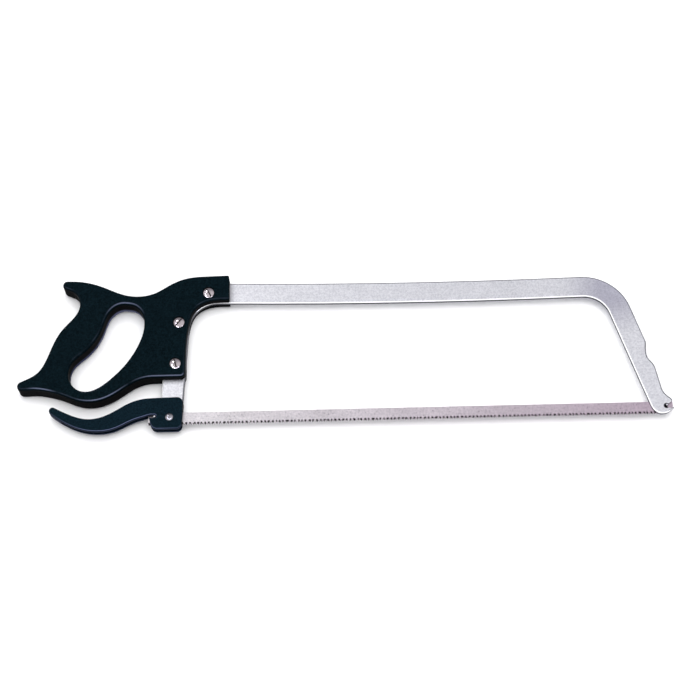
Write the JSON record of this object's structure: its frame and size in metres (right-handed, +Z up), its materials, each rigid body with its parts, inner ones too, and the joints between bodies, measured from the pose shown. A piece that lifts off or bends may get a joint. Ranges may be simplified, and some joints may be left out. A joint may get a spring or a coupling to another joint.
{
  "type": "bow saw",
  "caption": "Butcher's bow saw with a flat-bar frame, closed black handle, slotted screws, over-centre tension lever and pinned toothed blade.",
  "frame": {"origin": "centre of the bounding box in X and Y, at the underside of the handle; the saw lies flat on its side", "axes": "+X along the blade from the handle to the nose, +Y from the blade towards the top bar, +Z up through the saw's thickness"},
  "size_m": [0.7182, 0.1808, 0.025],
  "materials": {
    "frame_steel": "satin",
    "handle_plastic": "fine grain",
    "lever_paint": "semi-gloss",
    "screw_steel": "polished",
    "rivet_steel": "satin",
    "blade_steel": "ground",
    "pin_steel": "satin"
  },
  "bodies": {
    "frame": {"bow_frame": "frame_steel", "handle_shell_upper": "handle_plastic", "handle_shell_lower": "handle_plastic", "handle_screw_top": "screw_steel", "handle_screw_middle": "screw_steel", "handle_screw_bottom": "screw_steel", "sleeve_nut_top": "screw_steel", "sleeve_nut_middle": "screw_steel", "sleeve_nut_bottom": "screw_steel", "pivot_rivet_upper": "rivet_steel", "pivot_rivet_lower": "rivet_steel"},
    "lever": {"tension_lever": "lever_paint"},
    "blade": {"blade": "blade_steel", "blade_pin_rear": "pin_steel", "blade_pin_front": "pin_steel"}
  },
  "joints": [
    {"name": "lever_hinge", "type": "hinge", "parent": "frame", "child": "lever", "pos_m": [-0.1923, -0.07565, 0.012], "axis": [0, 0, 1], "range_deg": [0, 85]},
    {"name": "blade_swing", "type": "hinge", "parent": "lever", "child": "blade", "pos_m": [-0.2085, -0.07425, 0.012], "axis": [0, 0, 1], "range_deg": [-83, 0]}
  ],
  "couplings": [
    {"joint": "blade_swing", "follows": "lever_hinge", "ratio": -0.9715}
  ]
}
